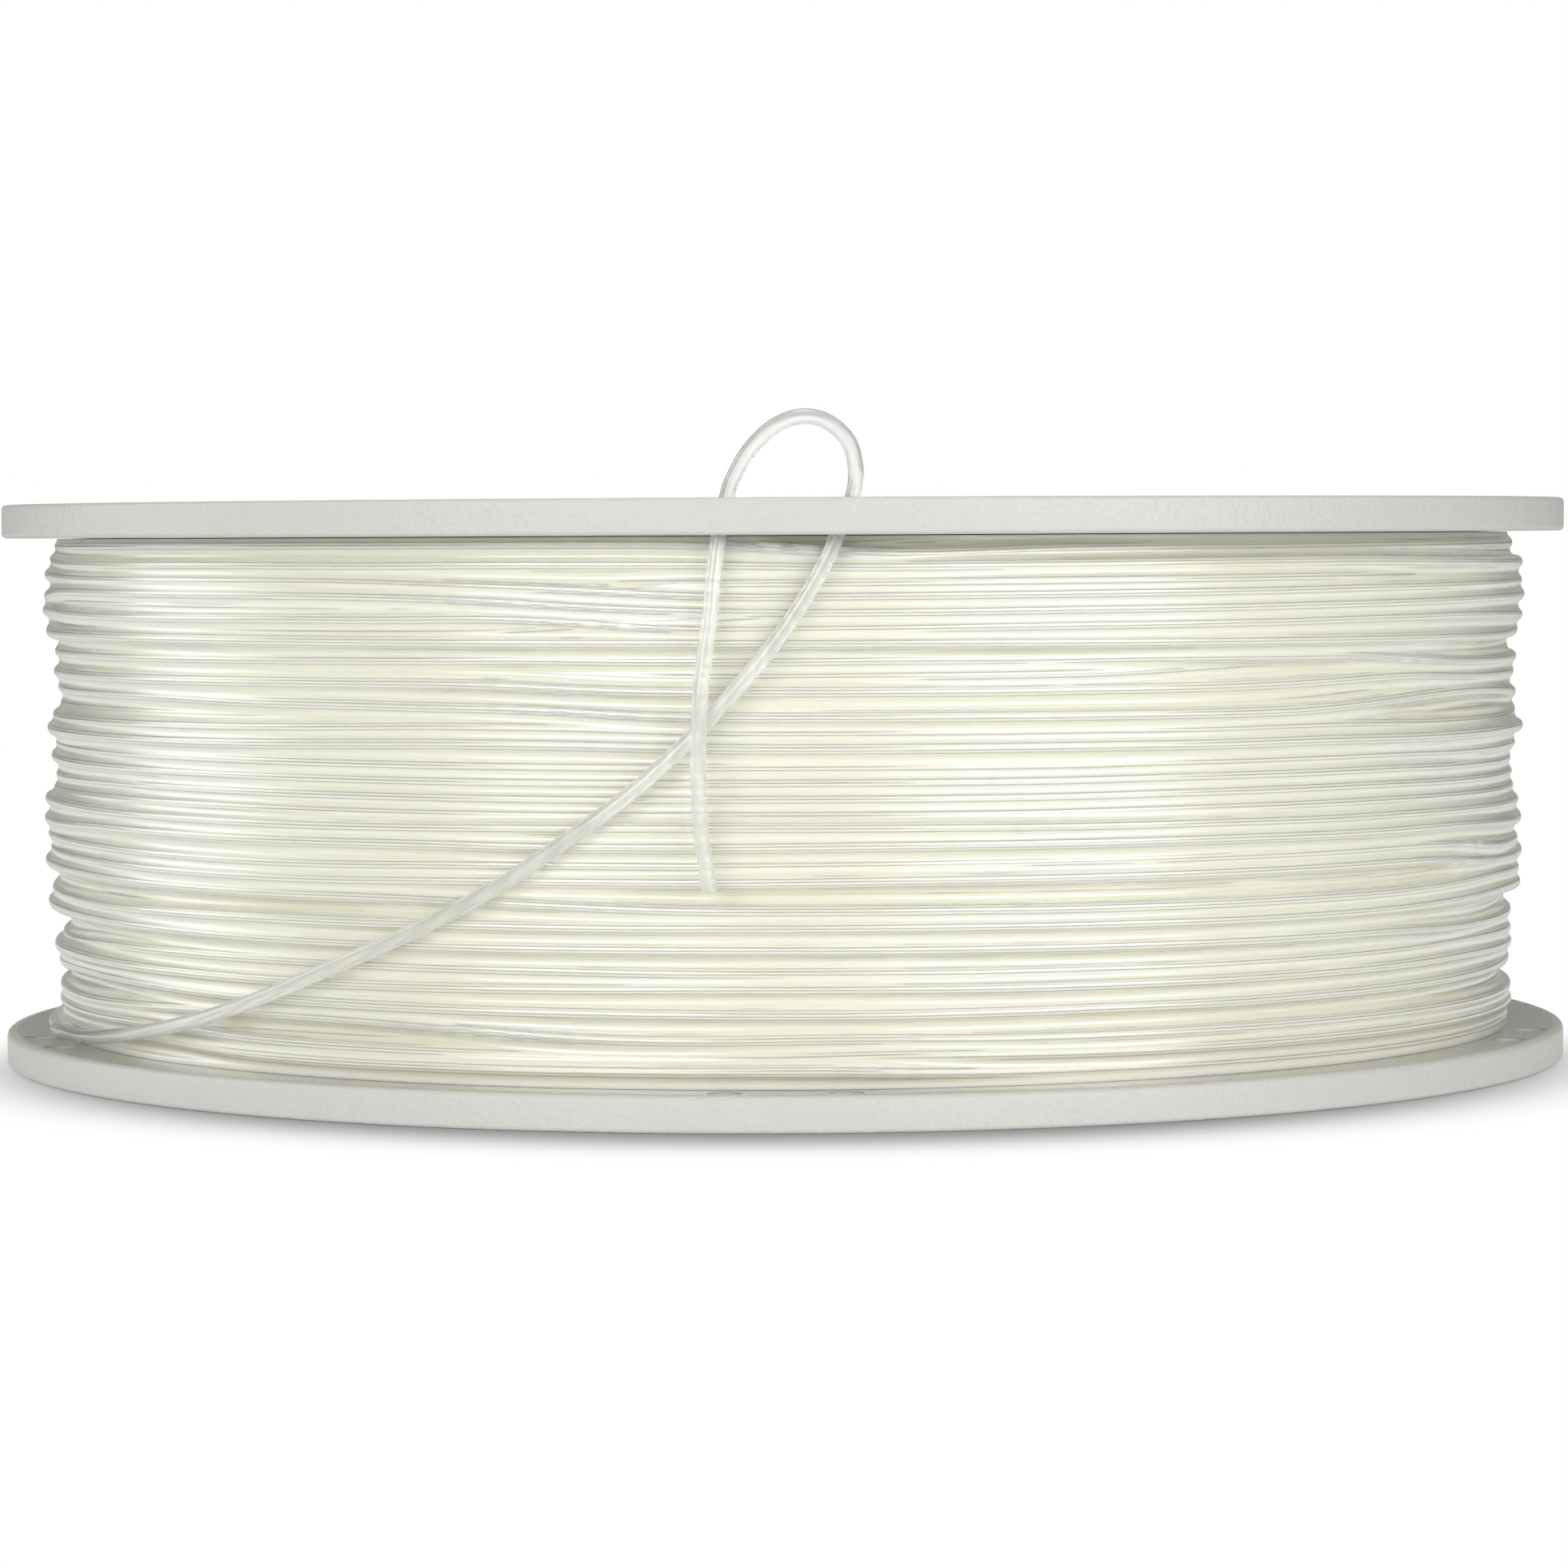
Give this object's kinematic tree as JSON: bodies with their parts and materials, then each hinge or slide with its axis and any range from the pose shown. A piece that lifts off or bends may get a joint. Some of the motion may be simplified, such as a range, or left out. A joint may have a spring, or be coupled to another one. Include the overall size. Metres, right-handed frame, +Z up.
{
  "type": "filament spool",
  "caption": "Light grey plastic spool lying on its side, wound full with natural translucent 1.75 mm filament, the free end looped through holes in the upper flange.",
  "frame": {"origin": "on the spindle axis, in the plane that the lower flange stands on", "axes": "+Z up along the spindle axis, -Y towards the parked free end, +X to the right of it"},
  "size_m": [0.2, 0.2, 0.0809],
  "materials": {
    "flange_plastic": "light grey moulded plastic, fine spark-eroded rim, glossier inner faces",
    "drum_plastic": "light grey moulded plastic, satin",
    "filament": "natural undyed plastic, translucent and glossy"
  },
  "bodies": {
    "root": {"lower_flange": "flange_plastic", "upper_flange": "flange_plastic", "drum": "drum_plastic", "filament_inner_layers": "filament", "filament_inner_end": "filament", "filament_outer_layer": "filament", "filament_free_end": "filament"}
  },
  "joints": []
}
